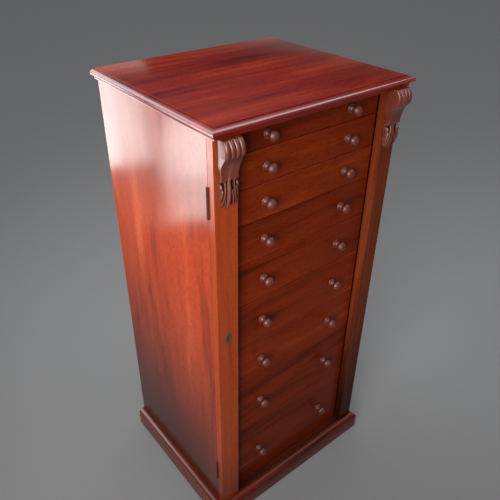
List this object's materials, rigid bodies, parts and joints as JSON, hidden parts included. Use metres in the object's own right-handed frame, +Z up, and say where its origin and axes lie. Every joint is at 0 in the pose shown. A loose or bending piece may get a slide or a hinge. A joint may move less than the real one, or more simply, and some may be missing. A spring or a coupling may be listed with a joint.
{
  "type": "wellington chest",
  "caption": "Tall narrow chest of graduated drawers in polished mahogany, with turned knobs, a moulded top, a plinth, carved corbels and a hinged locking flap down one side.",
  "frame": {"origin": "on the floor under the chest, at the middle of its whole outline", "axes": "+Z up, -Y towards the drawer fronts, +X to the right of someone facing the drawers"},
  "size_m": [0.57, 0.493, 1.2],
  "materials": {
    "top_mahogany": "french polish",
    "side_mahogany": "french polish",
    "stile_mahogany": "french polish",
    "drawer_mahogany": "french polish",
    "carved_mahogany": "french polish, worn on the high places",
    "knob_mahogany": "french polish",
    "plinth_mahogany": "french polish",
    "drawer_lining": "bare oak",
    "carcass_pine": "bare pine",
    "back_pine": "stained pine",
    "aged_brass": "dull and tarnished",
    "hinge_steel": "plain"
  },
  "bodies": {
    "carcass": {"top_board": "top_mahogany", "left_side": "side_mahogany", "right_side": "side_mahogany", "back_boards": "back_pine", "bottom_board": "carcass_pine", "plinth_front": "plinth_mahogany", "plinth_sides": "plinth_mahogany", "plinth_back": "back_pine", "plinth_blocks": "carcass_pine", "base_rail": "plinth_mahogany", "front_posts": "stile_mahogany", "rear_posts": "carcass_pine", "drawer_runners": "carcass_pine", "right_stile": "stile_mahogany", "right_corbel": "carved_mahogany", "hinge_leaves_fixed": "aged_brass", "hinge_pins": "hinge_steel", "strike_plate": "aged_brass"},
    "flap": {"locking_flap": "stile_mahogany", "flap_corbel": "carved_mahogany", "hinge_leaves_moving": "aged_brass", "lock_case": "aged_brass", "escutcheon": "aged_brass"},
    "lock_bolt": {"lock_bolt": "hinge_steel"},
    "drawer_1": {"drawer_1_front": "drawer_mahogany", "drawer_1_box": "drawer_lining", "drawer_1_bottom": "drawer_lining", "drawer_1_knobs": "knob_mahogany"},
    "drawer_2": {"drawer_2_front": "drawer_mahogany", "drawer_2_box": "drawer_lining", "drawer_2_bottom": "drawer_lining", "drawer_2_knobs": "knob_mahogany"},
    "drawer_3": {"drawer_3_front": "drawer_mahogany", "drawer_3_box": "drawer_lining", "drawer_3_bottom": "drawer_lining", "drawer_3_knobs": "knob_mahogany"},
    "drawer_4": {"drawer_4_front": "drawer_mahogany", "drawer_4_box": "drawer_lining", "drawer_4_bottom": "drawer_lining", "drawer_4_knobs": "knob_mahogany"},
    "drawer_5": {"drawer_5_front": "drawer_mahogany", "drawer_5_box": "drawer_lining", "drawer_5_bottom": "drawer_lining", "drawer_5_knobs": "knob_mahogany"},
    "drawer_6": {"drawer_6_front": "drawer_mahogany", "drawer_6_box": "drawer_lining", "drawer_6_bottom": "drawer_lining", "drawer_6_knobs": "knob_mahogany"},
    "drawer_7": {"drawer_7_front": "drawer_mahogany", "drawer_7_box": "drawer_lining", "drawer_7_bottom": "drawer_lining", "drawer_7_knobs": "knob_mahogany"},
    "drawer_8": {"drawer_8_front": "drawer_mahogany", "drawer_8_box": "drawer_lining", "drawer_8_bottom": "drawer_lining", "drawer_8_knobs": "knob_mahogany"},
    "drawer_9": {"drawer_9_front": "drawer_mahogany", "drawer_9_box": "drawer_lining", "drawer_9_bottom": "drawer_lining", "drawer_9_knobs": "knob_mahogany"}
  },
  "joints": [
    {"name": "flap_hinge", "type": "hinge", "parent": "carcass", "child": "flap", "pos_m": [-0.2665, -0.192, 0.619], "axis": [0, 0, -1], "range_deg": [0, 170]},
    {"name": "lock_bolt_slide", "type": "slide", "parent": "flap", "child": "lock_bolt", "axis": [0, 0, 1], "range_m": [0, 0.005]},
    {"name": "drawer_1_slide", "type": "slide", "parent": "carcass", "child": "drawer_1", "axis": [0, -1, 0], "range_m": [0, 0.3]},
    {"name": "drawer_2_slide", "type": "slide", "parent": "carcass", "child": "drawer_2", "axis": [0, -1, 0], "range_m": [0, 0.3]},
    {"name": "drawer_3_slide", "type": "slide", "parent": "carcass", "child": "drawer_3", "axis": [0, -1, 0], "range_m": [0, 0.3]},
    {"name": "drawer_4_slide", "type": "slide", "parent": "carcass", "child": "drawer_4", "axis": [0, -1, 0], "range_m": [0, 0.3]},
    {"name": "drawer_5_slide", "type": "slide", "parent": "carcass", "child": "drawer_5", "axis": [0, -1, 0], "range_m": [0, 0.3]},
    {"name": "drawer_6_slide", "type": "slide", "parent": "carcass", "child": "drawer_6", "axis": [0, -1, 0], "range_m": [0, 0.3]},
    {"name": "drawer_7_slide", "type": "slide", "parent": "carcass", "child": "drawer_7", "axis": [0, -1, 0], "range_m": [0, 0.3]},
    {"name": "drawer_8_slide", "type": "slide", "parent": "carcass", "child": "drawer_8", "axis": [0, -1, 0], "range_m": [0, 0.3]},
    {"name": "drawer_9_slide", "type": "slide", "parent": "carcass", "child": "drawer_9", "axis": [0, -1, 0], "range_m": [0, 0.3]}
  ]
}
